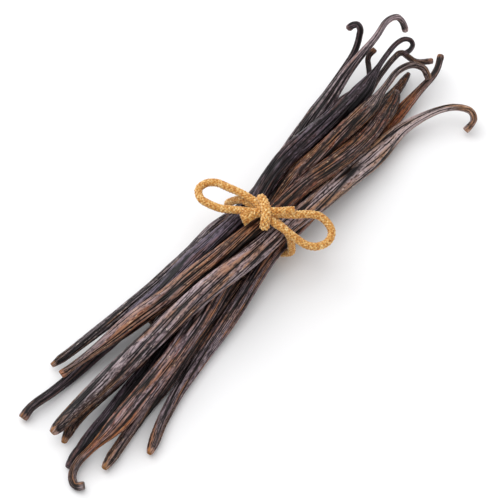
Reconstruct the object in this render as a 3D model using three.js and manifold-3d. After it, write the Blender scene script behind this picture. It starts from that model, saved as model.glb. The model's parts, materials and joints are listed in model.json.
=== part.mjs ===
// A bundle of ten cured vanilla pods, tied with a cotton cord in a bow.
// Millimetres, +Z up. +X runs along the bundle, and the floor is z = 0.
// Every pod has a blunt blossom end and a thin hooked stem end. Two of them lie the other way round.

import * as THREE from 'three';
import { mergeVertices } from 'three/addons/utils/BufferGeometryUtils.js';
import Module from 'manifold-3d';

// ---------------------------------------------------------------- driving dimensions

const GAP = 0.3;              // clearance between neighbours
const CORD = 2.8;             // diameter of the tie cord
const TIE_X = -1.5;           // where the cord goes round the bundle
const TIE_REACH = 3;          // half the length of bundle that lies on the cord
const HUMP = 45;              // mm over which the pods come down from the cord to the floor
const SQUEEZE = 0.86;         // width that the cord leaves a pod, as a share of its own
const SQUEEZE_REACH = 32;     // mm over which a pod swells out again beside the cord

const SIDES = 12;             // corners of a pod's section, every other one a ridge
const FURROW = 0.13;          // depth of the furrows between the ridges, as a share of the radius
const TWIST = 0.9;            // degrees that the ridges turn in each millimetre
const SLICE = 0.97;           // distance between slices, in local diameters
const LONGEST_SLICE = 6.2;    // mm
const SHORTEST_SLICE = 1.5;   // mm
const ROUNDED = 0.6;          // width of the blunt end's tip, as a share of the width behind it
const ROUNDED_REACH = 4;      // mm over which the blunt end rounds off
const FLARE = 0.25;           // extra width of a flared tip, as a share of the width behind it
const FLARE_REACH = 2.5;      // mm over which the stem's tip flares
const SETTLE_ROUNDS = 400;    // rounds in which the pods push each other clear
const CURVE_STEPS = 600;      // divisions for measuring along a middle line

const POD_COLOUR = { dark: 0x2e2220, brown: 0x4a342d, mauve: 0x5d4b4c, rust: 0x6a3f28 };
const POD_ROUGHNESS = 0.45;
const CORD_COLOUR = 0xc68e48;
const CORD_ROUGHNESS = 0.9;

// Each pod: its name and colour, its widths, and the middle line from its -X end to its +X end.
// belly: width of the full pod. butt: width at the blunt end. neck: width of the thin stem end.
// swell: mm from the blunt end to the full width. shoulder: mm over which the pod narrows to its neck.
// stem: mm of thin neck. flip: true where the stem end is the -X one. foot: true where the other end flares.
const PODS = [
  {
    name: 'pod_01', colour: 'mauve', belly: 5.6, butt: 2.6, neck: 1.9, swell: 75, shoulder: 44, stem: 15,
    line: [[-77.6, 19.1, 2.6], [-71.2, 17.4, 3.6], [-60.5, 14.8, 5.5], [-52, 13, 6.4], [-39.4, 10.6, 7.6],
      [-31, 9.5, 8.4], [-20, 8.4, 9.5], [-11.3, 8, 10.6], [0, 6.2, 10.5], [14, 5.8, 10.5], [43, 9, 12],
      [66, 12, 14], [81, 12, 17], [88, 12.5, 18.5], [91.5, 11, 18.5], [93, 9, 15], [93, 8, 12]],
  },
  {
    name: 'pod_02', colour: 'dark', belly: 6.4, butt: 2.6, neck: 1.4, swell: 75, shoulder: 16, stem: 21,
    foot: true,
    line: [[-96.8, 14, 1.7], [-94.3, 14.2, 2.4], [-91, 13.9, 2.9], [-86.9, 13.1, 2.7], [-81, 12.2, 2.5],
      [-73.1, 11.4, 2.6], [-66.1, 10.6, 3.6], [-60.2, 9.6, 5], [-48, 7.8, 9], [-38.9, 5.9, 10.9],
      [-23.5, 4.3, 13.3], [-14.1, 3.2, 14.4], [0, 2, 15], [14, 3, 15], [44, 2.5, 14], [60, 3, 13],
      [71, 4.8, 13.4], [78.6, 5.6, 14.6], [84.6, 5.6, 15.3], [88.1, 4.4, 15], [89, 2.2, 14],
      [86.9, 1.5, 12.6], [84.7, 2.6, 11.8]],
  },
  {
    name: 'pod_03', colour: 'brown', belly: 5.9, butt: 4.4, neck: 2.4, swell: 12, shoulder: 24, stem: 5,
    flip: true,
    line: [[-79.6, 13.3, 5.7], [-71.1, 10.5, 7.8], [-62.4, 7.9, 9.9], [-53.2, 5.2, 12.5], [-39.9, 1.3, 14.9],
      [-32.9, 0.2, 15.7], [-23.1, -1.7, 15.9], [-14, -3.2, 16], [-2, -4.9, 16], [10, -5.8, 15.3],
      [41, -6.5, 11.5], [57, -6, 9], [67, -5, 7.6], [73, -3.2, 7.2]],
  },
  {
    name: 'pod_04', colour: 'mauve', belly: 7.2, butt: 4, neck: 2.1, swell: 30, shoulder: 38, stem: 16,
    line: [[-97, 1.4, 7], [-85, 0.4, 8.3], [-65, -2.2, 11], [-46, -4.8, 13.9], [-33, -7, 15],
      [-8, -9.2, 14.2], [15, -10, 10.5], [33, -9.8, 6.5], [54, -11.2, 4.5], [66, -14, 5.5],
      [75, -18.5, 7], [80, -22.5, 7], [82.5, -27, 6], [81, -29.5, 4.5], [77, -29, 2.5]],
  },
  {
    name: 'pod_05', colour: 'brown', belly: 5.8, butt: 2.8, neck: 2, swell: 60, shoulder: 14, stem: 22,
    line: [[-95.6, -1.6, 2.4], [-93.2, -0.7, 2.5], [-86.2, 0.3, 2.8], [-76, -0.4, 3.5], [-60, -2, 5],
      [-30, -1, 8.5], [-2, -0.2, 10.2], [17, -0.6, 12.5], [41, -2, 14], [58, -2.5, 13.5],
      [69, -1.5, 13.5], [76, -1.2, 14], [81.6, -3.1, 13.2], [83.8, -6.4, 11.5], [83.2, -9, 8.6]],
  },
  {
    name: 'pod_06', colour: 'dark', belly: 5.4, butt: 3.2, neck: 1.6, swell: 35, shoulder: 16, stem: 12,
    line: [[-100.9, -8.6, 2], [-95, -7.2, 2], [-89, -6.5, 2.2], [-81, -6.6, 2.6], [-70, -6, 3],
      [-45, -4, 4.5], [0, -2.3, 5.5], [30, 4, 5.5], [53, 8, 5], [66, 7.5, 6], [71.5, 7.3, 7.5],
      [75.2, 10.2, 8.8], [76.9, 11.7, 10.4], [80.2, 11.3, 12]],
  },
  {
    name: 'pod_07', colour: 'rust', belly: 6, butt: 2.4, neck: 2.3, swell: 26, shoulder: 14, stem: 16,
    flip: true,
    line: [[-102.6, -15.8, 1.9], [-104, -14.8, 1.5], [-103.5, -12, 1.6], [-100, -9.5, 2.6],
      [-94, -10.4, 4.7], [-82, -12.3, 7.8], [-60, -11.8, 9.3], [-30, -8, 10], [0, -5.6, 10],
      [30, -3.5, 8.5], [60, -2, 4.5], [76, -1, 3], [85, 0, 3]],
  },
  {
    name: 'pod_08', colour: 'brown', belly: 5.2, butt: 3.2, neck: 1.7, swell: 70, shoulder: 20, stem: 22,
    line: [[-94.7, -16.8, 2.2], [-71, -13.7, 2.6], [-43, -11.8, 4], [0, -7.6, 5.6], [30, -1.5, 4.5],
      [55, 3.5, 5], [76, 5.2, 8], [82, 5, 9.8], [85.4, 4.1, 10.6], [85.8, 1.6, 10], [86.4, -1.4, 9],
      [91, -5.6, 8]],
  },
  {
    name: 'pod_09', colour: 'rust', belly: 5, butt: 3.3, neck: 2, swell: 60, shoulder: 30, stem: 6,
    line: [[-82.3, -24.2, 2], [-70, -19.8, 2.3], [-44, -14.4, 3.2], [-28, -12.2, 5], [-2, -11.2, 8.8],
      [20, -9.5, 5.5], [50, -8, 3], [67, -7.5, 2.8], [80, -8, 5], [88, -8.5, 7], [94.7, -6.1, 8]],
  },
  {
    name: 'pod_10', colour: 'dark', belly: 5, butt: 4, neck: 2.1, swell: 20, shoulder: 22, stem: 20,
    line: [[-47, 4.8, 3], [-36, 4.4, 3.7], [0, 2.6, 5.6], [30, 7.8, 6], [55, 14, 5], [68, 16.6, 6.5],
      [76, 17, 10], [80, 18, 14], [82, 19.5, 16.5], [81.5, 21.5, 16], [80.5, 23, 14]],
  },
];

// The bow, measured from the middle of the knot. Every strand starts and ends inside the knot.
const KNOT_Y = -5;            // where the knot sits across the bundle
const KNOT_RISE = 1.6;        // middle of the knot above the middle of the cord that it is tied in
const WRAP_LEAN = 0.06;       // mm that the cord runs along +X for each mm from the knot
const WRAP_POINTS = 40;       // points of the cord's way round the bundle
const CORD_SIDES = 8;         // corners of the cord's section
const CORD_STEP = 3.6;        // mm between the cord's sections
const KNOT_WIDTH = 3.4;       // the strand over the knot, loosened and wider than the cord
const KNOT_CORE = 6.2;        // the knot's middle, where the pulled strands leave no hollow
const CORE_SIDES = 10;        // corners round the knot's middle
const FRAYED_WIDTH = 3.8;     // the frayed end, opened wider than the cord
const LEFT_LOOP = [[0, 0, 0], [0.9, 4.7, 0.1], [0.9, 9.9, 0], [0.4, 14.9, -0.5], [-0.1, 19.4, -1.2],
  [-2.1, 22.2, -1.8], [-5, 22.7, -2.2], [-7.4, 20, -2.2], [-7.6, 16.5, -2], [-6.8, 12, -1.5],
  [-5.2, 8.6, -0.9], [-3.4, 4.5, -0.2], [-1.2, 0.4, -0.3]];
const RIGHT_LOOP = [[0, 0, 0], [1.1, -3, 0.2], [2.6, -5.3, 0.1], [5.1, -8.1, -0.5], [8.2, -10.2, -1.8],
  [10.9, -13.1, -3.2], [11.3, -16.2, -4.5], [9.9, -19.1, -5.5], [6.8, -20.2, -6.1], [3, -18.9, -5.9],
  [0.7, -16.2, -5], [-0.4, -12.6, -3.1], [-1.1, -8.5, -1], [-1.4, -4.8, -0.4], [-0.6, -1.5, 0]];
const LEFT_END = [[0, 0, 0], [-2, 1.5, 0.1], [-4.3, 2.8, -0.2], [-6.3, 4.2, -0.7]];
const RIGHT_END = [[0, 0, 0.4], [0.3, -2.4, 1.7], [2.2, -4.8, 1.8], [5.3, -7.5, 1.2]];
const KNOT_STRAND = [[2.5, 3.5, -0.5], [2.3, 3.2, 1.5], [0.7, 0.5, 2.4], [-1.8, -2, 2.4],
  [-4.1, -3.3, 1.4], [-4.8, -3.7, -0.5]];

// ---------------------------------------------------------------- helpers

const group = new THREE.Group();
const wasm = await Module();
wasm.setup();

const point = ([x, y, z]) => new THREE.Vector3(x, y, z);

function smooth(t) {
  const u = THREE.MathUtils.clamp(t, 0, 1);
  return u * u * (3 - 2 * u);
}

function addMesh(name, geometry, colour, roughness) {
  const material = new THREE.MeshStandardMaterial({ color: colour, roughness, metalness: 0 });
  const mesh = new THREE.Mesh(geometry, material);
  mesh.name = name;
  group.add(mesh);
}

function weld(geometry) {
  const bare = geometry.clone();
  bare.deleteAttribute('normal');
  bare.deleteAttribute('uv');
  return mergeVertices(bare, 1e-3);
}

// ---------------------------------------------------------------- pods

// Width of a pod at a distance from its blunt end.
function podWidth(pod, distance, length) {
  const fromTip = length - distance;
  const body = THREE.MathUtils.lerp(pod.butt, pod.belly, smooth(distance / pod.swell));
  const narrowing = smooth((fromTip - pod.stem) / pod.shoulder);
  const width = THREE.MathUtils.lerp(pod.neck, body, narrowing);
  const flare = FLARE * pod.neck * smooth(1 - fromTip / FLARE_REACH);
  const tip = pod.foot ? 1 + FLARE : ROUNDED;
  return (width + flare) * THREE.MathUtils.lerp(tip, 1, smooth(distance / ROUNDED_REACH));
}

// The cord squeezes the pods where it goes round them.
function squeeze(x) {
  return THREE.MathUtils.lerp(SQUEEZE, 1, smooth(Math.abs(x - TIE_X) / SQUEEZE_REACH));
}

// Slices of a pod, from its -X end to its +X end: middle point and radius.
function slicePod(pod) {
  const curve = new THREE.CatmullRomCurve3(pod.line.map(point), false, 'centripetal');
  curve.arcLengthDivisions = CURVE_STEPS;
  const length = curve.getLength();
  const widthAt = (distance) => podWidth(pod, pod.flip ? length - distance : distance, length);
  const distances = [];
  let next = 0;
  while (next < length) {
    distances.push(next);
    next += THREE.MathUtils.clamp(SLICE * widthAt(next), SHORTEST_SLICE, LONGEST_SLICE);
  }
  const stretched = length / distances[distances.length - 1];
  return distances.map((short) => {
    const distance = Math.min(short * stretched, length);
    const at = curve.getPointAt(distance / length);
    return { at, radius: (widthAt(distance) * squeeze(at.x)) / 2 };
  });
}

// Lowest height that a slice's middle may have: the pods lie on the floor, and hump over the cord under them.
function floorUnder(slice) {
  const fromCord = Math.abs(slice.at.x - TIE_X) - TIE_REACH;
  return slice.radius + (CORD + GAP) * smooth(1 - fromCord / HUMP);
}

const toward = new THREE.Vector3();
const nearest = new THREE.Vector3();
const stretch = new THREE.Line3();

// Push on one slice from another pod: away from the deepest contact with that pod.
function pushFrom(slice, other, push) {
  let deepest = 0;
  for (let k = 1; k < other.length; k += 1) {
    stretch.set(other[k - 1].at, other[k].at);
    const share = stretch.closestPointToPointParameter(slice.at, true);
    stretch.at(share, nearest);
    const radius = THREE.MathUtils.lerp(other[k - 1].radius, other[k].radius, share);
    const depth = slice.radius + radius + GAP - nearest.distanceTo(slice.at);
    if (depth > deepest) {
      deepest = depth;
      toward.subVectors(slice.at, nearest).normalize();
    }
  }
  push.addScaledVector(toward, 0.5 * deepest);
}

// The pods press each other clear, bit by bit, and stay smooth.
function settle(bundle) {
  for (let round = 0; round < SETTLE_ROUNDS; round += 1) {
    for (const slices of bundle) {
      const pushes = slices.map(() => new THREE.Vector3());
      slices.forEach((slice, i) => {
        for (const other of bundle) {
          if (other !== slices) {
            pushFrom(slice, other, pushes[i]);
          }
        }
      });
      slices.forEach((slice, i) => {
        const before = pushes[Math.max(i - 1, 0)];
        const after = pushes[Math.min(i + 1, pushes.length - 1)];
        slice.at.addScaledVector(pushes[i], 0.5).addScaledVector(before, 0.25).addScaledVector(after, 0.25);
        slice.at.z = Math.max(slice.at.z, floorUnder(slice));
      });
    }
  }
}

// Directions across a pod at each slice, carried along it without turning.
function frameSlices(slices) {
  const frames = [];
  const side = new THREE.Vector3(0, 1, 0);
  let distance = 0;
  slices.forEach((slice, i) => {
    const from = slices[Math.max(i - 1, 0)].at;
    const to = slices[Math.min(i + 1, slices.length - 1)].at;
    const along = new THREE.Vector3().subVectors(to, from).normalize();
    side.addScaledVector(along, -side.dot(along)).normalize();
    const up = new THREE.Vector3().crossVectors(side, along);
    distance += i > 0 ? slice.at.distanceTo(slices[i - 1].at) : 0;
    frames.push({ side: side.clone(), up, distance });
  });
  return frames;
}

// A straight pod is turned as a lathe shape, one slice a millimetre, then bent and furrowed.
function podGeometry(slices) {
  const last = slices.length - 1;
  const profile = [new THREE.Vector2(0, 0)];
  slices.forEach((slice, i) => profile.push(new THREE.Vector2(slice.radius, i)));
  profile.push(new THREE.Vector2(0, last));
  const geometry = weld(new THREE.LatheGeometry(profile, SIDES));
  const places = geometry.getAttribute('position');
  const frames = frameSlices(slices);
  const p = new THREE.Vector3();
  for (let i = 0; i < places.count; i += 1) {
    p.fromBufferAttribute(places, i);
    const k = Math.round(p.y);
    const radius = Math.hypot(p.x, p.z);
    const corner = Math.round((Math.atan2(p.x, p.z) / (2 * Math.PI)) * SIDES);
    const turn = (corner / SIDES) * 2 * Math.PI + THREE.MathUtils.degToRad(TWIST) * frames[k].distance;
    const furrowed = corner % 2 === 0 ? radius : radius * (1 - FURROW);
    p.copy(slices[k].at);
    p.addScaledVector(frames[k].side, furrowed * Math.sin(turn));
    p.addScaledVector(frames[k].up, furrowed * Math.cos(turn));
    places.setXYZ(i, p.x, p.y, p.z);
  }
  return geometry;
}

const bundle = PODS.map(slicePod);
settle(bundle);
PODS.forEach((pod, i) => addMesh(pod.name, podGeometry(bundle[i]), POD_COLOUR[pod.colour], POD_ROUGHNESS));

// ---------------------------------------------------------------- tie cord

// How far the bundle reaches from the X axis in a direction across it, under the cord.
function reach(angle) {
  let far = -Infinity;
  for (const slices of bundle) {
    for (let k = 1; k < slices.length; k += 1) {
      const before = slices[k - 1];
      const after = slices[k];
      for (let x = TIE_X - CORD; x <= TIE_X + CORD; x += CORD / 2) {
        const share = (x - before.at.x) / (after.at.x - before.at.x);
        if (share >= 0 && share <= 1) {
          const at = new THREE.Vector3().lerpVectors(before.at, after.at, share);
          const radius = THREE.MathUtils.lerp(before.radius, after.radius, share);
          far = Math.max(far, at.y * Math.cos(angle) + at.z * Math.sin(angle) + radius);
        }
      }
    }
  }
  return far + GAP + CORD / 2;
}

// The cord's way round the bundle, as tight as a belt: the outline that it reaches in every direction.
function wrapLine() {
  const step = (2 * Math.PI) / WRAP_POINTS;
  const rise = reach(Math.PI / 2);
  const line = [];
  for (let i = 0; i < WRAP_POINTS; i += 1) {
    const angle = i * step;
    const out = reach(angle);
    const slope = (reach(angle + step / 2) - reach(angle - step / 2)) / step;
    const y = out * Math.cos(angle) - slope * Math.sin(angle);
    const z = out * Math.sin(angle) + slope * Math.cos(angle);
    line.push(new THREE.Vector3(TIE_X + WRAP_LEAN * Math.hypot(y - KNOT_Y, z - rise), y, z));
  }
  return line;
}

// A round cord of one width along a line of points.
function cordGeometry(points, width) {
  const curve = new THREE.CatmullRomCurve3(points, false, 'centripetal');
  const section = new THREE.Shape();
  section.absarc(0, 0, width / 2, 0, 2 * Math.PI);
  const steps = Math.ceil(curve.getLength() / CORD_STEP);
  return weld(new THREE.ExtrudeGeometry(section, {
    steps, extrudePath: curve, bevelEnabled: false, curveSegments: CORD_SIDES,
  }));
}

function knotCore() {
  const ball = new THREE.SphereGeometry(KNOT_CORE / 2, CORE_SIDES, CORE_SIDES / 2);
  ball.translate(knot.x, knot.y, knot.z);
  return weld(ball);
}

function toSolid(geometry) {
  const places = geometry.getAttribute('position').array;
  const corners = geometry.getIndex().array;
  return new wasm.Manifold(new wasm.Mesh({
    numProp: 3, vertProperties: new Float32Array(places), triVerts: new Uint32Array(corners),
  }));
}

function toGeometry(solid) {
  const mesh = solid.getMesh();
  const geometry = new THREE.BufferGeometry();
  geometry.setAttribute('position', new THREE.BufferAttribute(mesh.vertProperties, 3));
  geometry.setIndex(new THREE.BufferAttribute(mesh.triVerts, 1));
  return geometry;
}

// The belt starts and ends in the knot, in place of the wrap's topmost point under it.
const wrap = wrapLine();
const halfHeight = Math.max(...wrap.map((p) => p.z)) / 2;
const top = wrap.filter((p) => p.z > halfHeight);
const under = top.reduce((best, p) => (Math.abs(p.y - KNOT_Y) < Math.abs(best.y - KNOT_Y) ? p : best));
const start = wrap.indexOf(under);
const knot = new THREE.Vector3(TIE_X, KNOT_Y, under.z + KNOT_RISE);
const belt = [knot, ...wrap.slice(start + 1), ...wrap.slice(0, start), knot];
const fromKnot = (line) => line.map((p) => point(p).add(knot));

const strands = [
  knotCore(),
  cordGeometry(belt, CORD),
  cordGeometry(fromKnot(LEFT_LOOP), CORD),
  cordGeometry(fromKnot(RIGHT_LOOP), CORD),
  cordGeometry(fromKnot(LEFT_END), FRAYED_WIDTH),
  cordGeometry(fromKnot(RIGHT_END), CORD),
  cordGeometry(fromKnot(KNOT_STRAND), KNOT_WIDTH),
];
const tie = strands.map(toSolid).reduce((whole, strand) => whole.add(strand));
addMesh('tie_cord', toGeometry(tie), CORD_COLOUR, CORD_ROUGHNESS);

// ---------------------------------------------------------------- place on the floor

const box = new THREE.Box3().setFromObject(group);
const middle = box.getCenter(new THREE.Vector3());
group.position.set(-middle.x, -middle.y, -box.min.z);
group.updateMatrixWorld(true);

export default group;
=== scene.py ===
# %% [markdown]
# ## A bundle of vanilla pods, tied with a cotton cord
# Ten cured pods lie side by side, and a cord is tied round them in a bow. A cured vanilla pod is a thin, leathery,
# oily fruit, wrinkled lengthways by drying, with a cut end and a long, curled stem end.
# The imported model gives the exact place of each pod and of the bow. It stays the measure for everything here.

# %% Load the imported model
import json
import math
import bmesh
import bpy
import numpy as np
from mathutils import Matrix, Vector


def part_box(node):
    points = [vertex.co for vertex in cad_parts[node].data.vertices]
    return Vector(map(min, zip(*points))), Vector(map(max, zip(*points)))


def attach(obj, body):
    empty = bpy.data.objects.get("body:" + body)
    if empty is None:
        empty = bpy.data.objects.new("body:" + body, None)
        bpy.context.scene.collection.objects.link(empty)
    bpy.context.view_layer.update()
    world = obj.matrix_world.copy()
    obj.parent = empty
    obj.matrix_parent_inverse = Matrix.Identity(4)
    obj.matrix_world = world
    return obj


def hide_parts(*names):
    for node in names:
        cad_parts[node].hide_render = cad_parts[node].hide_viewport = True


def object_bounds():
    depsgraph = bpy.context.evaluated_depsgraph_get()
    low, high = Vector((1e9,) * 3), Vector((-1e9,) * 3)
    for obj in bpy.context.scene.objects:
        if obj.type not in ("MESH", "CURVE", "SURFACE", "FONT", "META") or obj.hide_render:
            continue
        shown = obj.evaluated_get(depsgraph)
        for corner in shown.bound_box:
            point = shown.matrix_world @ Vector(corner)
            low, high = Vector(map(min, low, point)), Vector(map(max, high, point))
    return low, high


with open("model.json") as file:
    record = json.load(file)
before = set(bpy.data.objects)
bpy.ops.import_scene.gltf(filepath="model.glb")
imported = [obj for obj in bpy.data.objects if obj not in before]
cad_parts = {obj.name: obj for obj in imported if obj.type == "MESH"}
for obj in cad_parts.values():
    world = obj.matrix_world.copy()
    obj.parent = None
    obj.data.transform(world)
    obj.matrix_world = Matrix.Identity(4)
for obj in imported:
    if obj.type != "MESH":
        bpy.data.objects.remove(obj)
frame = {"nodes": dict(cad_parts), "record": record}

cad_low, cad_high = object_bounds()
MM = 0.001
print("model", [round((high - low) / MM, 1) for low, high in zip(cad_low, cad_high)], "mm")

# %% [markdown]
# ## Camera, floor and light
# The bundle is seen from above and from the side, so that it runs from the lower left to the upper right. A long
# lens keeps its edges nearly parallel. The knot is the middle of the composition, so the camera is placed from it.

# %% Camera
TIE_CORNER = Vector((12.75, 23.78, 4.21)) * MM    # from the middle of the knot to the highest corner of the tie's box
BUNDLE_MIDDLE = Vector((1.5, 5)) * MM             # from the knot to the bundle's middle, seen from above
TURN, RISE = math.radians(-52), math.radians(55)  # where the camera stands round the bundle, and how high
AWAY = 650 * MM
ASIDE, UP = 1.6 * MM, 9.28 * MM                   # how far the knot lies beside and above the middle of the picture

knot = Vector(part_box("tie_cord")[1]) - TIE_CORNER
target = Vector((knot.x + BUNDLE_MIDDLE.x, knot.y + BUNDLE_MIDDLE.y, 10.5 * MM))
back = Vector((math.sin(TURN) * math.cos(RISE), -math.cos(TURN) * math.cos(RISE), math.sin(RISE)))
eye = target + back * AWAY
right = Vector((math.cos(TURN), math.sin(TURN), 0))
aim = target - right * ASIDE - back.cross(right) * UP

camera = bpy.data.objects.new("camera", bpy.data.cameras.new("camera"))
bpy.context.scene.collection.objects.link(camera)
camera.location = eye
camera.rotation_euler = (aim - eye).to_track_quat("-Z", "Y").to_euler()
camera.data.lens = 146.25
camera.data.clip_start = 0.01
bpy.context.scene.camera = camera
bpy.context.scene.view_settings.view_transform = "Standard"
print("knot at", [round(c / MM, 1) for c in knot], "mm, camera", round(AWAY / MM), "mm away")

# %% [markdown]
# A plain table top is a plane; it is no part of the bundle. Most of the light comes from a pale sky all round, so the
# bundle's shadow is wide and faint. A soft light above the bow's left loop and another overhead lay long glints along
# the ridges.

# %% Floor and light


def colour(code):
    """An sRGB hex colour as the linear colour that shaders use."""
    parts = [int(code[i:i + 2], 16) / 255 for i in (1, 3, 5)]
    return [c / 12.92 if c <= 0.04045 else ((c + 0.055) / 1.055) ** 2.4 for c in parts] + [1.0]


def add_node(tree, kind, links=None, **settings):
    """Adds a shader node with its settings, and links its inputs from other nodes' outputs."""
    node = tree.nodes.new(kind)
    for name, value in settings.items():
        setattr(node, name, value)
    for name, source in (links or {}).items():
        if hasattr(source, "is_output"):
            tree.links.new(source, node.inputs[name])
        else:
            node.inputs[name].default_value = source
    return node


def new_material(name):
    """A material with its node tree, its shader and its empty start."""
    material = bpy.data.materials.new(name)
    material.use_nodes = True
    return material, material.node_tree, material.node_tree.nodes["Principled BSDF"]


bpy.ops.object.select_all(action="DESELECT")
bpy.ops.mesh.primitive_plane_add(size=6, location=(0, 0, -0.1 * MM))
floor = bpy.context.active_object
floor.name = "table_top"
white_board, tree, shader = new_material("matt white board")
shader.inputs["Base Color"].default_value = colour("#f4f4f5")
shader.inputs["Roughness"].default_value = 0.9
shader.inputs["Specular IOR Level"].default_value = 0.1
floor.data.materials.append(white_board)

sky = bpy.data.worlds.new("pale sky")
sky.use_nodes = True
sky.node_tree.nodes["Background"].inputs["Color"].default_value = (1, 1, 1, 1)
sky.node_tree.nodes["Background"].inputs["Strength"].default_value = 0.8
bpy.context.scene.world = sky


def soft_box(name, direction, away, size, watts):
    """A square area light that hangs in a direction from the bundle and faces it."""
    bpy.ops.object.light_add(type="AREA", location=target + Vector(direction).normalized() * away)
    light = bpy.context.active_object
    light.name = name
    light.data.size = size
    light.data.energy = watts
    light.rotation_euler = (target - light.location).to_track_quat("-Z", "Y").to_euler()


soft_box("window_light", (0.1, 0.8, 0.75), 1.0, 0.8, 3.8)
soft_box("ceiling_light", (-0.05, 0.1, 1), 1.3, 1.0, 5)
print("2 soft lights")

# %% [markdown]
# ## Middle lines of the pods
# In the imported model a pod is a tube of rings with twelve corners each, closed by a pole at either end. Walking
# over the mesh from one pole, edge by edge, meets the rings in their order. The middle and the half width of each
# ring are all that a detailed pod needs: its route and its thickness.

# %% Read a pod's rings


def read_rings(node):
    """Middle and radius, in mm, of a pod's rings from its -X end to its +X end."""
    mesh = bmesh.new()
    mesh.from_mesh(node.data)
    bmesh.ops.remove_doubles(mesh, verts=mesh.verts, dist=1e-6)
    poles = [v for v in mesh.verts if len(v.link_edges) == 12]
    ring = {min(poles, key=lambda v: v.co.x)}
    seen, rings = set(ring), []
    while ring:
        ring = {edge.other_vert(v) for v in ring for edge in v.link_edges} - seen
        seen |= ring
        if len(ring) == 12:
            corners = np.array([v.co for v in ring]) / MM
            middle = corners.mean(axis=0)
            rings.append([*middle, np.linalg.norm(corners - middle, axis=1).max()])
    mesh.free()
    return np.array(rings)


rings = {name: read_rings(frame["nodes"][name]) for name in sorted(frame["nodes"]) if name.startswith("pod_")}
for name, line in rings.items():
    print(name, len(line), "rings, widest", round(2 * line[:, 3].max(), 1), "mm")

# %% [markdown]
# A smooth curve through the rings is a chain of cubic arcs. It is measured along, and cut into equal steps. Two
# directions across the curve are carried along it without turning about it, so that nothing on a pod twists by
# itself where the pod bends.

# %% Smooth lines and their frames


def smooth_line(points, step):
    """Points about a step apart on a smooth curve through points. Further columns, such as a radius, go along."""
    points = np.asarray(points, float)
    knots = np.append(0, np.cumsum(np.sqrt(np.linalg.norm(np.diff(points[:, :3], axis=0), axis=1))))
    slopes = np.gradient(points, knots, axis=0)
    dense = np.linspace(0, knots[-1], 60 * len(knots))
    k = np.clip(np.searchsorted(knots, dense, side="right") - 1, 0, len(knots) - 2)
    span = (knots[k + 1] - knots[k])[:, None]
    t = (dense - knots[k])[:, None] / span
    curve = ((2 * t**3 - 3 * t**2 + 1) * points[k] + (t**3 - 2 * t**2 + t) * span * slopes[k]
             + (3 * t**2 - 2 * t**3) * points[k + 1] + (t**3 - t**2) * span * slopes[k + 1])
    length = np.append(0, np.cumsum(np.linalg.norm(np.diff(curve[:, :3], axis=0), axis=1)))
    at = np.linspace(0, length[-1], int(length[-1] / step) + 1)
    return np.stack([np.interp(at, length, column) for column in curve.T], axis=1), at


def carry_frames(line):
    """Unit directions along a line, and two across it that don't turn about it."""
    along = np.gradient(line[:, :3], axis=0)
    along /= np.linalg.norm(along, axis=1, keepdims=True)
    side = np.zeros_like(along)
    last = np.cross(along[0], (0.0, 0.0, 1.0))
    for i, direction in enumerate(along):
        last = last - direction * np.dot(last, direction)
        last /= np.linalg.norm(last)
        side[i] = last
    return along, side, np.cross(side, along)


# %% [markdown]
# ## The wrinkled skin
# A pod shrinks as it dries, and its skin folds lengthways. Broad rounded folds meet in sharp creases: noise gives
# these when its blobs are stretched to some twenty times their width, and a crease is where the noise changes its
# sign. Narrow ridges lie evenly spaced on the broad folds, so they are waves round the pod that noise bends and
# breaks off. The pattern is laid out on a straight pod of even thickness, so the folds follow every bend and draw
# together where the pod narrows.

# %% Noise and creases


def blobs(places, seed):
    """Smooth noise of about -1 to 1 at many places at once, one blob for each unit."""
    dice = np.random.default_rng(seed)
    order = dice.permutation(256)
    slopes = dice.normal(size=(256, 3))
    slopes /= np.linalg.norm(slopes, axis=1, keepdims=True)
    cell = np.floor(places).astype(int)
    inside = places - cell
    ease = inside**3 * (inside * (inside * 6 - 15) + 10)
    total = np.zeros(places.shape[:-1])
    for corner in np.ndindex(2, 2, 2):
        at = cell + corner
        pick = order[(order[(order[at[..., 0] & 255] + at[..., 1]) & 255] + at[..., 2]) & 255]
        weight = np.prod(np.where(np.array(corner, bool), ease, 1 - ease), axis=-1)
        total += weight * np.sum(slopes[pick] * (inside - np.array(corner)), axis=-1)
    return 1.7 * total


def streaks(straight, wide, long, seed):
    """Blobs of that width and length in mm on the straight pod."""
    return blobs(straight / np.array([wide, wide, long]), seed)


def creases(straight, wide, long, seed):
    """1 in the creases between folds of that width and length in mm, 0 on the folds."""
    return 1 - np.clip(2.4 * np.abs(streaks(straight, wide, long, seed)), 0, 1)


def swings(along, long, seed):
    """A slow to and fro of about -1 to 1 along a pod, one swing for each length in mm."""
    return blobs(np.stack([along / long, 0 * along, 0 * along + 0.5], axis=-1), seed)


PATTERN_RADIUS = 3.0     # mm, of the straight pod that the pattern is laid out on
PATTERN_TURN = 0.9       # degrees that the folds turn round a pod in each mm
WANDER = (0.55, 48)      # radians that the folds swing aside, and mm of pod for a swing
BROAD = (2.1, 44)        # mm: width and length of the broad folds
BROAD_DEPTH = 0.4        # mm
RIDGES = 22              # narrow ridges round a pod, 0.8 mm apart where it is full
RIDGE_DEPTH = 0.4       # mm
LONG_BENDS = (3.4, 60)   # mm: width and length of the long bends in the narrow ridges
KINKS = (1.4, 16)        # mm: width and length of the small bends in them
BREAKS = (1.5, 9)        # mm: width and length of the places where they fade
SHORT = (0.55, 1.8)      # mm: width and length of the short folds by the ends
END_REACH = 9.0          # mm of knobbly skin at either end


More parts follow.
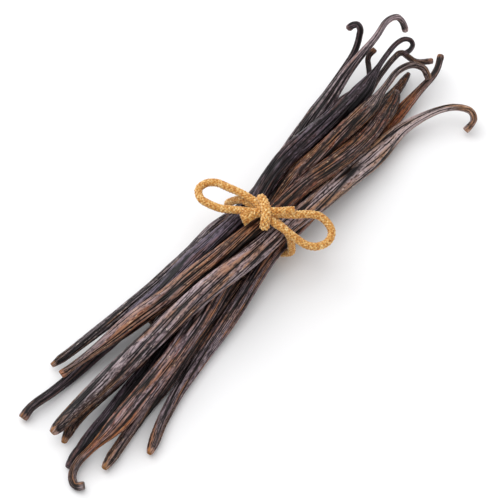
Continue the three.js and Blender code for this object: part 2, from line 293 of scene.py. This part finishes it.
def skin(turn, along, length, radius, seed):
    """Depth in mm below the widest outline all over a pod, and masks for the painted shade in its furrows and the
    painted highlights on its ridge tops.
    """
    wander = WANDER[0] * swings(along, WANDER[1], seed + 40)
    spun = turn + math.radians(PATTERN_TURN) * along + wander
    straight = np.stack([PATTERN_RADIUS * np.cos(spun), PATTERN_RADIUS * np.sin(spun), along], axis=-1)
    size = np.clip(radius / PATTERN_RADIUS, 0.2, 1.15)
    ends = np.exp(-np.minimum(along, length - along) / END_REACH)
    phase = RIDGES * spun / (2 * math.pi)
    phase = phase + 1.6 * streaks(straight, *LONG_BENDS, seed + 1) + 0.45 * streaks(straight, *KINKS, seed + 2)
    ridge = np.abs(np.sin(math.pi * phase))
    strength = np.clip(0.65 + 1.3 * streaks(straight, *BREAKS, seed + 4), 0.12, 1)
    broad = creases(straight, *BROAD, seed)
    short = creases(straight, *SHORT, seed + 3)
    valley = (1 - ends) * strength * (1 - ridge) + ends * short
    crest_highlight = (1 - ends) * strength * ridge**4 + ends * creases(straight, *SHORT, seed + 7) ** 2
    furrow_shade = 1 - (1 - np.clip(2.1 * valley - 0.6, 0, 1)) * (1 - broad**2)
    depth = BROAD_DEPTH * broad**1.6 + RIDGE_DEPTH * valley
    return depth * size, furrow_shade, crest_highlight, straight, size


# %% [markdown]
# ## One pod
# A grid is a flat sheet of squares. Rolled up, its sides meet and it is a tube. It is drawn in a little at the tips,
# and its first and last rows run in to a point, which closes the cut ends. Merging the doubled corners sews the
# seam, so the bends, folds and ends are all in one skin. A square is about an eighth of a millimetre wide and half
# a millimetre long, as the folds are long and narrow.

# %% Build a pod
AROUND = 144      # squares round a pod
STEP = 0.52       # mm of pod for each row
CAP_ROWS = 9      # rows over a cut end
PROUD = 0.22      # mm that the ridges stand into the gap between the pods
OVAL = 0.04       # share by which a pod is flatter one way
ROUNDED = 0.24    # share by which a tip is drawn in
ROUNDED_REACH = 0.6   # mm over which it is drawn in
LEAST = 0.25      # share of the radius that the deepest fold leaves
DISH = 0.35       # mm that a cut end is hollow
TILT = (2.2, 60)  # radians that the flatter way swings about, and mm of pod for a swing
CUT_EDGE = 1.5    # mm of skin by a cut that has the cut's colour


def blend_stations(stations, share):
    """Colour and rust at each share of the length, between stations along a pod."""
    places = [place for place, code, rust in stations]
    colours = np.array([colour(code) for place, code, rust in stations])
    tone = np.stack([np.interp(share, places, column) for column in colours.T], axis=-1)
    return tone, np.interp(share, places, [rust for place, code, rust in stations])


def build_pod(name, seed, stations, ends):
    """Rolls a grid up into a pod along its packed rings. stations and ends are its colours."""
    line, at = smooth_line(rings[name], STEP)
    along, side, up = carry_frames(line)
    cap = np.linspace(0, 1, CAP_ROWS, endpoint=False)
    rows = np.concatenate([np.zeros(CAP_ROWS, int), np.arange(len(at)), np.full(CAP_ROWS, len(at) - 1)])
    share = np.concatenate([cap, np.ones(len(at)), cap[::-1]])
    turn = np.linspace(0, 2 * math.pi, AROUND + 1)[None, :] + 0 * rows[:, None]
    distance = at[rows][:, None] + 0 * turn
    radius = line[rows, 3][:, None] + PROUD
    depth, furrow_shade, crest_highlight, straight, size = skin(turn % (2 * math.pi), distance, at[-1], radius, seed)
    tilt = TILT[0] * swings(distance, TILT[1], seed + 41)
    oval = OVAL * radius * (0.5 - 0.5 * np.cos(2 * (turn - tilt)))
    blunt = 1 - ROUNDED * np.exp(-np.minimum(distance, at[-1] - distance) / ROUNDED_REACH)
    out = np.maximum(radius - depth - oval, LEAST * radius) * share[:, None] * blunt
    dish = DISH * size * (1 - share[:, None] ** 2) * (1 + blobs(straight / 0.9 + share[:, None, None], seed + 5))
    inward = np.where(rows[:, None] == 0, dish, -dish) * (share[:, None] < 1)
    place = (line[rows, None, :3] + along[rows, None] * inward[..., None]
             + side[rows, None] * (out * np.sin(turn))[..., None] + up[rows, None] * (out * np.cos(turn))[..., None])
    place = np.clip(place * MM, cad_low, cad_high)

    bpy.ops.object.select_all(action="DESELECT")
    bpy.ops.mesh.primitive_grid_add(x_subdivisions=AROUND, y_subdivisions=len(rows) - 1, size=1)
    pod = bpy.context.active_object
    pod.name = name + "_skin"
    flat = np.zeros(len(pod.data.vertices) * 3)
    pod.data.vertices.foreach_get("co", flat)
    flat = flat.reshape(-1, 3)
    column = np.rint((flat[:, 0] + 0.5) * AROUND).astype(int)
    row = np.rint((flat[:, 1] + 0.5) * (len(rows) - 1)).astype(int)
    pod.data.vertices.foreach_set("co", place[row, column].ravel())

    cut = np.where(share < 1, 1.0, 0.0)[:, None] + 0 * turn
    tone, rust = blend_stations(stations, distance / at[-1])
    tip = np.where(np.arange(len(rows))[:, None, None] < len(rows) / 2, colour(ends[0]), colour(ends[1]))
    near = np.exp(-(np.minimum(distance, at[-1] - distance) / (CUT_EDGE + 0.5 * blobs(straight, seed + 8))) ** 4)
    tone = tone * (1 - near[..., None]) + tip * near[..., None]
    furrow_shade, crest_highlight = furrow_shade * (1 - 0.8 * near), crest_highlight * (1 - near)
    for label, kind, field, values in [("straight", "FLOAT_VECTOR", "vector", straight), ("cut", "FLOAT", "value", cut),
                                       ("furrow_shade", "FLOAT", "value", furrow_shade), ("crest_highlight", "FLOAT", "value", crest_highlight),
                                       ("rust", "FLOAT", "value", rust), ("tone", "FLOAT_COLOR", "color", tone)]:
        layer = pod.data.attributes.new(label, kind, "POINT")
        layer.data.foreach_set(field, values[row, column].ravel())

    bpy.ops.object.mode_set(mode="EDIT")
    bpy.ops.mesh.select_all(action="SELECT")
    bpy.ops.mesh.remove_doubles(threshold=1e-6)
    bpy.ops.mesh.normals_make_consistent(inside=False)
    bpy.ops.object.mode_set(mode="OBJECT")
    bpy.ops.object.shade_smooth()
    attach(pod, "root")
    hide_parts(name)
    return pod


# %% [markdown]
# The colours are the pods' own, from the end at the left to the end at the right. A pod that was cut from the vine
# shows tan fibres on the cut. Its stem end dries to a greyer brown, and the full middle stays dark and oily.

# %% The ten pods
PODS = {
    "pod_01": (11, [(0, "#281a1c", 0.1), (0.1, "#1e1317", 0), (0.4, "#281a22", 0), (0.56, "#44322f", 0.3),
                    (0.85, "#664c54", 0.2), (0.93, "#7c6066", 0.1), (1, "#8c6a68", 0.2)], ("#a8722c", "#b08474")),
    "pod_02": (23, [(0, "#5c4c46", 0.1), (0.06, "#4c3e42", 0.1), (0.16, "#48363c", 0.4), (0.27, "#4c4454", 0),
                    (0.42, "#564c5c", 0), (0.52, "#2c2022", 0.3), (0.8, "#281e20", 0.2), (0.9, "#3e3034", 0.1),
                    (1, "#544448", 0)], ("#a0703c", "#5e4036")),
    "pod_03": (37, [(0, "#6c5a54", 0.4), (0.05, "#685a5e", 0.1), (0.14, "#6c5456", 0.7), (0.3, "#705a5c", 0.6),
                    (0.44, "#684840", 0.7), (0.52, "#56352c", 0.8), (0.66, "#442a24", 0.6), (0.9, "#3a2219", 0.6),
                    (1, "#4e2c22", 0.5)], ("#9c5a30", "#5e3424")),
    "pod_04": (41, [(0, "#4a3833", 0.1), (0.08, "#40302f", 0.3), (0.25, "#685258", 0.3), (0.5, "#745a58", 0.3),
                    (0.65, "#785e50", 0.5), (0.8, "#8c7262", 0.4), (0.9, "#96806f", 0.2), (1, "#8a5a44", 0.6)],
               ("#a26e34", "#bc9070")),
    "pod_05": (53, [(0, "#503832", 0.3), (0.1, "#3e2828", 0.3), (0.5, "#3e2823", 0.5), (0.75, "#422a1f", 0.7),
                    (0.86, "#564c4a", 0.1), (1, "#60504a", 0.1)], ("#9e6a2c", "#70543f")),
    "pod_06": (67, [(0, "#4a3a40", 0.1), (0.1, "#3a2a2e", 0.3), (0.5, "#2e2024", 0.4), (1, "#42281e", 0.3)],
               ("#54444a", "#8a5a34")),
    "pod_07": (71, [(0, "#605450", 0), (0.05, "#5e4c48", 0.2), (0.09, "#744624", 1), (0.17, "#584042", 0.5),
                    (0.4, "#54444c", 0.2), (0.6, "#48343a", 0.3), (1, "#34201b", 0.4)], ("#6c6058", "#3c2620")),
    "pod_08": (83, [(0, "#645452", 0.2), (0.15, "#5a484c", 0.2), (0.5, "#40302e", 0.4), (0.85, "#44322c", 0.5),
                    (0.92, "#382a2e", 0.1), (1, "#4a3432", 0.2)], ("#ae762c", "#8a5a40")),
    "pod_09": (97, [(0, "#6c5c5e", 0.2), (0.1, "#5c4c54", 0.2), (0.4, "#504048", 0.3), (0.56, "#50301f", 0.8),
                    (0.85, "#5c3620", 1), (0.94, "#64423a", 0.5), (1, "#6c4a44", 0.3)], ("#a86e2a", "#80522f")),
    "pod_10": (101, [(0, "#2e2222", 0.2), (0.5, "#2c2024", 0.2), (0.85, "#40281f", 0.3), (1, "#543c36", 0.1)],
               ("#6e4a30", "#a07058")),
}
pods = {}
for name, (seed, stations, ends) in PODS.items():
    pods[name] = build_pod(name, seed, stations, ends)
    print(name, len(pods[name].data.polygons), "faces")

# %% [markdown]
# ## Cured pod skin
# The finish is one: leathery skin with its own oil on it. A paler grey-lilac is painted on the ridge tops as a
# highlight, and as a painted sheen where the pod's own tone is pale, while painted shade keeps the furrows nearly
# black. The tone along the pod comes from the mesh. Long rust streaks and small pale flecks lie on it, and a fine
# lengthways grain roughens the glints.

# %% Skin materials


def pod_skin(name, mottle_and_furrow_shade, ridge_highlights, streak, fleck, flecks, roughness):
    """Skin of one finish. Its first colour is both dark mottle and the painted shade in the furrows; the pair after it
    are the colours painted as highlights on the ridge tops, plain and rusty. flecks: their share, 0 to 1.
    """
    material, tree, shader = new_material(name)
    straight = add_node(tree, "ShaderNodeAttribute", attribute_name="straight").outputs["Vector"]
    furrow_shade, crest_highlight, rust, cut = (add_node(tree, "ShaderNodeAttribute", attribute_name=label).outputs["Fac"]
                                for label in ("furrow_shade", "crest_highlight", "rust", "cut"))
    tone = add_node(tree, "ShaderNodeAttribute", attribute_name="tone").outputs["Color"]

    def stretched(wide, long, detail):
        spread = add_node(tree, "ShaderNodeMapping", {"Vector": straight, "Scale": (1 / wide, 1 / wide, 1 / long)})
        return add_node(tree, "ShaderNodeTexNoise", {"Vector": spread.outputs["Vector"], "Scale": 1.0,
                                                     "Detail": detail}).outputs["Fac"]

    def ramp(value, low, high, start, end):
        return add_node(tree, "ShaderNodeMapRange", {"Value": value, "From Min": low, "From Max": high, "To Min": start,
                                                     "To Max": end}).outputs["Result"]

    def maths(operation, first, second, third=0.0):
        return add_node(tree, "ShaderNodeMath", {0: first, 1: second, 2: third}, operation=operation).outputs[0]

    def mix(amount, first, second):
        return add_node(tree, "ShaderNodeMix", {0: amount, 6: first, 7: second}, data_type="RGBA").outputs[2]

    dark = mix(ramp(stretched(1.6, 14, 3), 0.4, 0.62, 0, 0.7), tone, colour("#251a1e"))
    rusty = mix(ramp(maths("MULTIPLY_ADD", rust, 0.28, stretched(1.0, 9, 3)), 0.68, 0.77, 0, 0.85), dark,
                colour(streak))
    # Painted highlight colour for the ridges: grey-lilac, or orange where rust lies, softened by the tone.
    ridge_highlight = mix(ramp(maths("MULTIPLY_ADD", rust, 0.25, stretched(2.2, 16, 2)), 0.54, 0.7, 0, 1), colour(ridge_highlights[0]),
                 colour(ridge_highlights[1]))
    ridge_highlight = mix(0.4, ridge_highlight, tone)
    pale = add_node(tree, "ShaderNodeRGBToBW", {"Color": tone}).outputs["Val"]
    # Painted sheen: the highlight colour spreads over patches where the pod's tone is pale.
    pale_sheen = mix(ramp(maths("MULTIPLY_ADD", pale, 1.6, stretched(1.2, 8, 4)), 0.56, 0.7, 0, 0.45), rusty, ridge_highlight)
    # Painted highlight lines on the ridge tops, broken into dashes.
    highlighted = mix(maths("MULTIPLY", crest_highlight, ramp(stretched(0.6, 4, 3), 0.38, 0.56, 0.1, 1)), pale_sheen, ridge_highlight)
    mottle = stretched(0.45, 1.7, 3)
    # More painted sheen in small patches where the tone is pale; then dark mottle specks.
    highlighted = mix(ramp(maths("MULTIPLY_ADD", pale, 1.0, mottle), 0.56, 0.7, 0, 0.6), highlighted, ridge_highlight)
    highlighted = mix(ramp(mottle, 0.48, 0.34, 0, 0.75), highlighted, colour(mottle_and_furrow_shade))
    flecked = mix(ramp(stretched(0.4, 1.5, 2), 0.72 - 0.12 * flecks, 0.78 - 0.12 * flecks, 0, 0.75), highlighted,
                  colour(fleck))
    # Painted shade: the furrows go nearly black.
    painted_shade = mix(ramp(furrow_shade, 0.05, 0.7, 0, 0.98), flecked, colour(mottle_and_furrow_shade))
    end = mix(ramp(stretched(0.35, 0.35, 3), 0.35, 0.6, 0.75, 0), tone, colour("#2e1c12"))
    tree.links.new(mix(cut, painted_shade, end), shader.inputs["Base Color"])

    tree.links.new(ramp(stretched(0.8, 5, 3), 0.3, 0.7, roughness - 0.12, roughness + 0.12),
                   shader.inputs["Roughness"])
    shader.inputs["IOR"].default_value = 1.46
    shader.inputs["Specular IOR Level"].default_value = 0.2
    shader.inputs["Coat Weight"].default_value = 0.08
    shader.inputs["Coat Roughness"].default_value = 0.16
    bump = add_node(tree, "ShaderNodeBump", {"Height": stretched(0.28, 3.2, 3), "Strength": 0.8,
                                             "Distance": 0.16 * MM})
    tree.links.new(bump.outputs["Normal"], shader.inputs["Normal"])
    return material


# Each finish: the colour of dark mottle and of the painted furrow shade, the painted highlight colours for the ridges
# (plain, rusty), rust streak, fleck, fleck share, roughness.
SKINS = {
    "cured_pod_mauve": pod_skin("oily mauve pod skin", "#0a0507", ("#d6c4ca", "#c49068"), "#70402c", "#e6d4c6", 0.6,
                                0.34),
    "cured_pod_dark": pod_skin("oily near-black pod skin", "#070406", ("#8c7c8c", "#825440"), "#4c241a", "#a0949a",
                               0.35, 0.32),
    "cured_pod_brown": pod_skin("oily brown pod skin", "#0a0504", ("#bca2a2", "#c48c62"), "#783c20", "#d8b898", 0.6,
                                0.36),
    "cured_pod_rust": pod_skin("oily rust pod skin", "#0c0605", ("#c4b0b6", "#c88450"), "#8c4420", "#d0b090", 0.45,
                               0.36),
}
SLOT_OF = {part["node"]: part["material_slot"] for part in frame["record"]["subparts"]}
for name, pod in pods.items():
    pod.data.materials.clear()
    pod.data.materials.append(SKINS[SLOT_OF[name]])
    print(name, "in", SLOT_OF[name])

# %% [markdown]
# ## The tie: a braided cotton cord
# The cord is a round braid: six yarns wind one way and six the other, and each goes over and under those that
# it meets. Every yarn is a curve with a round section, so the braid is real and casts its own small shadows. The
# routes of the loops, the ends and the strand over the knot are those of the model. The belt round the pods is
# worked out anew, tight round the ten wrinkled skins.

# %% Routes of the cord
CORD = 2.8
LEFT_LOOP = [[0, 0, 0], [0.9, 4.7, 0.1], [0.9, 9.9, 0], [0.4, 14.9, -0.5], [-0.1, 19.4, -1.2], [-2.1, 22.2, -1.8],
             [-5, 22.7, -2.2], [-7.4, 20, -2.2], [-7.6, 16.5, -2], [-6.8, 12, -1.5], [-5.2, 8.6, -0.9],
             [-3.4, 4.5, -0.2], [-1.2, 0.4, -0.3]]
RIGHT_LOOP = [[0, 0, 0], [1.1, -3, 0.2], [2.6, -5.3, 0.1], [5.1, -8.1, -0.5], [8.2, -10.2, -1.8],
              [10.9, -13.1, -3.2], [11.3, -16.2, -4.5], [9.9, -19.1, -5.5], [6.8, -20.2, -6.1], [3, -18.9, -5.9],
              [0.7, -16.2, -5], [-0.4, -12.6, -3.1], [-1.1, -8.5, -1], [-1.4, -4.8, -0.4], [-0.6, -1.5, 0]]
LEFT_END = [[0, 0, 0], [-2, 1.5, 0.1], [-4.3, 2.8, -0.2], [-6.3, 4.2, -0.7]]
RIGHT_END = [[0, 0, 0.4], [0.3, -2.4, 1.7], [2.2, -4.8, 1.8], [5.3, -7.5, 1.2]]
KNOT_STRAND = [[2.5, 3.5, -0.5], [2.3, 3.2, 1.5], [0.7, 0.5, 2.4], [-1.8, -2, 2.4], [-4.1, -3.3, 1.4],
               [-4.8, -3.7, -0.5]]
FRAYED = 3.8         # mm, the opened left end
KNOT_WIDTH = 3.4     # mm, the loosened strand over the knot
LEAN = 0.06          # mm that the belt runs along +X for each mm from the knot
BELT_POINTS = 40
BELT_ROOM = 0.15     # mm between the belt and the skins
NUDGE = 0.08         # radians to either side of a direction, to tell how the outline slopes there
knot_mm = np.array(knot) / MM


def belt_line():
    """The cord's way round the pods: the outline that they reach in every direction, and half a cord more."""
    near = []
    for pod in pods.values():
        corners = np.array([v.co for v in pod.data.vertices]) / MM
        near.append(corners[np.abs(corners[:, 0] - knot_mm[0]) < CORD])
    near = np.concatenate(near)
    angles = np.linspace(0, 2 * math.pi, BELT_POINTS, endpoint=False)

    def reach(angle):
        return np.max(near[:, 1] * math.cos(angle) + near[:, 2] * math.sin(angle)) + BELT_ROOM + CORD / 2

    belt = []
    for angle in angles:
        out, slope = reach(angle), (reach(angle + NUDGE) - reach(angle - NUDGE)) / (2 * NUDGE)
        y = out * math.cos(angle) - slope * math.sin(angle)
        z = max(out * math.sin(angle) + slope * math.cos(angle), CORD / 2)
        belt.append([knot_mm[0] + LEAN * math.hypot(y - knot_mm[1], z - reach(math.pi / 2)), y, z])
    top = min((p for p in belt if p[2] > knot_mm[2] / 2), key=lambda p: abs(p[1] - knot_mm[1]))
    start = belt.index(top)
    return [list(knot_mm), *belt[start + 1:], *belt[:start], list(knot_mm)]


ROUTES = {"belt": (belt_line(), CORD)}
for label, route, width in [("left loop", LEFT_LOOP, CORD), ("right loop", RIGHT_LOOP, CORD),
                            ("left end", LEFT_END, 0.9 * FRAYED), ("right end", RIGHT_END, CORD),
                            ("knot", KNOT_STRAND, KNOT_WIDTH)]:
    ROUTES[label] = ((np.array(route) + knot_mm).tolist(), width)
for label, (route, width) in ROUTES.items():
    print(label, round(smooth_line(route, 0.5)[1][-1], 1), "mm")

# %% [markdown]
# Each yarn's way round the cord is a helix. Its height follows a wave with one crest for every second yarn that it
# crosses, and the two families are in step so that where one is up the other is down.

# %% Braid the cord
YARNS = 6               # yarns each way
LAY = 2.5               # cord widths in which a yarn goes round once
YARN_SIDES = 6
YARN_STEP = 0.34        # mm
YARN_REACH = 0.325      # cord widths from the cord's middle to a yarn's
YARN_WAVE = 0.055       # cord widths by which a yarn goes over and under
YARN_RADIUS = 0.12      # cord widths
CORE_RADIUS = 0.32      # cord widths, of the filling under the yarns


def yarn_paths(route, width):
    """Middle lines in mm of the braid's yarns, and how high each point lies in it: 1 over, 0 under."""
    line, at = smooth_line(route, YARN_STEP)
    along, side, up = carry_frames(line)
    reach, wave = YARN_REACH * width, YARN_WAVE * width
    swing = 2 * math.pi * at / (LAY * width)
    for way in (1, -1):
        for k in range(YARNS):
            turn = way * swing + 2 * math.pi * k / YARNS
            other = turn + way * swing
            lift = way * np.cos(YARNS / 2 * other + math.pi * k)
            out = reach + wave * lift
            path = line[:, :3] + side * (out * np.sin(turn))[:, None] + up * (out * np.cos(turn))[:, None]
            yield path, 0.5 + 0.5 * lift


def make_tubes(name, paths, radius, sides):
    """One mesh of round tubes along paths in mm. paths: points and the value of 'over' at each."""
    curves = bpy.data.curves.new(name, "CURVE")
    curves.dimensions = "3D"
    curves.bevel_depth = radius * MM
    curves.bevel_resolution = sides // 2 - 2
    over = []
    for points, lift in paths:
        spline = curves.splines.new("POLY")
        spline.points.add(len(points) - 1)
        spline.points.foreach_set("co", np.append(points * MM, np.ones((len(points), 1)), axis=1).ravel())
        over.append(np.repeat(lift, sides))
    tubes = bpy.data.objects.new(name, curves)
    bpy.context.scene.collection.objects.link(tubes)
    bpy.ops.object.select_all(action="DESELECT")
    tubes.select_set(True)
    bpy.context.view_layer.objects.active = tubes
    bpy.ops.object.convert(target="MESH")
    tubes = bpy.context.active_object
    layer = tubes.data.attributes.new("over", "FLOAT", "POINT")
    layer.data.foreach_set("value", np.concatenate(over))
    bpy.ops.object.mode_set(mode="EDIT")
    bpy.ops.mesh.select_all(action="SELECT")
    bpy.ops.mesh.fill_holes(sides=0)
    bpy.ops.mesh.normals_make_consistent(inside=False)
    bpy.ops.object.mode_set(mode="OBJECT")
    bpy.ops.object.shade_smooth()
    return tubes


yarns = []
for label, (route, width) in ROUTES.items():
    yarns.append(make_tubes("yarns_" + label.replace(" ", "_"), list(yarn_paths(route, width)),
                            YARN_RADIUS * width, YARN_SIDES))
    line, at = smooth_line(route, 1.0)
    # The filling has 'over' 0 all along, so it takes the full painted shade colour.
    yarns.append(make_tubes("core_" + label.replace(" ", "_"), [(line, 0 * at)], CORE_RADIUS * width, 8))
print(sum(len(piece.data.polygons) for piece in yarns), "faces of yarn")

# %% [markdown]
# The left end has frayed: the yarns open into their fibres, which spread a little and end unevenly. The right end
# is cut clean, and only the last of its fibres show.

# %% Loose fibres


def tuft(route, width, count, start, grow, seed):
    """Fibres that leave the cord's last stretch, from a share of the way on, and spread."""
    dice = np.random.default_rng(seed)
    line, at = smooth_line(route, 0.3)
    along, side, up = carry_frames(line)
    first = int(start * (len(line) - 1))
    fibres = []
    for k in range(count):
        turn, out = dice.uniform(0, 2 * math.pi), width / 2 * math.sqrt(dice.uniform(0.05, 0.9))
        last = len(line) - 1 - int(dice.uniform(0, 0.35) * (len(line) - first))
        share = np.linspace(0, 1, last - first + 1)
        bend = out * (1 + grow * share**2 * dice.uniform(0.3, 1)) * (0.85 + 0.15 * share)
        spin = turn + 0.8 * share + 0.25 * np.sin(5 * share + 6 * dice.uniform())
        points = (line[first:last + 1, :3] + side[first:last + 1] * (bend * np.sin(spin))[:, None]
                  + up[first:last + 1] * (bend * np.cos(spin))[:, None])
        # Their 'over' value paints shade at a fibre's root and leaves its tip pale.
        fibres.append((points, 0.5 + 0.5 * share))
    return fibres


opened = tuft(ROUTES["left end"][0], width=FRAYED, count=90, start=0.5, grow=0.45, seed=5)
trimmed = tuft(ROUTES["right end"][0], width=2.4, count=40, start=0.8, grow=0.1, seed=6)
yarns.append(make_tubes("fibres_left", opened, radius=0.13, sides=6))
yarns.append(make_tubes("fibres_right", trimmed, radius=0.15, sides=6))

bpy.ops.object.select_all(action="DESELECT")
for piece in yarns:
    piece.select_set(True)
bpy.context.view_layer.objects.active = yarns[0]
bpy.ops.object.join()
tie = bpy.context.active_object
tie.name = "cord_braid"
corners = np.zeros(len(tie.data.vertices) * 3)
tie.data.vertices.foreach_get("co", corners)
tie.data.vertices.foreach_set("co", np.clip(corners.reshape(-1, 3), cad_low, cad_high).ravel())
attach(tie, "root")
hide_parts("tie_cord")
print("tie", len(tie.data.polygons), "faces")

# %% [markdown]
# ## Dyed cotton
# Cotton yarn is matt, and its fibres scatter light at the edges, which Sheen gives. The dye takes unevenly, so the
# golden tan goes paler and darker from yarn to yarn, and painted shade darkens the yarns to brown where they go under.

# %% Cotton material
cotton, tree, shader = new_material("dyed cotton braid")
place = add_node(tree, "ShaderNodeTexCoord").outputs["Object"]
over = add_node(tree, "ShaderNodeAttribute", attribute_name="over").outputs["Fac"]
patches = add_node(tree, "ShaderNodeTexNoise", {"Vector": place, "Scale": 1 / (0.8 * MM), "Detail": 3.0})
fluff = add_node(tree, "ShaderNodeTexNoise", {"Vector": place, "Scale": 1 / (0.22 * MM), "Detail": 2.0})
dye = add_node(tree, "ShaderNodeValToRGB", {"Fac": patches.outputs["Fac"]})
dye.color_ramp.elements.new(0.5)
for element, position, code in zip(dye.color_ramp.elements, (0.34, 0.5, 0.66), ("#b8701f", "#d99f4a", "#f6d595")):
    element.position = position
    element.color = colour(code)
# Painted shade: a yarn darkens to brown where it goes under the others, the filling beneath the yarns takes the full
# shade colour, and loose fibres are darker at their roots.
painted_shade = add_node(tree, "ShaderNodeMapRange", {"Value": over, "From Min": 0.0, "From Max": 0.8, "To Min": 0.75,
                                             "To Max": 0.0})
shade = add_node(tree, "ShaderNodeMix", data_type="RGBA")
tree.links.new(painted_shade.outputs["Result"], shade.inputs[0])
tree.links.new(dye.outputs["Color"], shade.inputs[6])
shade.inputs[7].default_value = colour("#7a4412")
tree.links.new(shade.outputs[2], shader.inputs["Base Color"])
shader.inputs["Roughness"].default_value = 0.8
shader.inputs["Sheen Weight"].default_value = 0.3
shader.inputs["Sheen Roughness"].default_value = 0.5
bump = add_node(tree, "ShaderNodeBump", {"Height": fluff.outputs["Fac"], "Strength": 0.5, "Distance": 0.08 * MM})
tree.links.new(bump.outputs["Normal"], shader.inputs["Normal"])
tie.data.materials.clear()
tie.data.materials.append(cotton)
print(cotton.name)
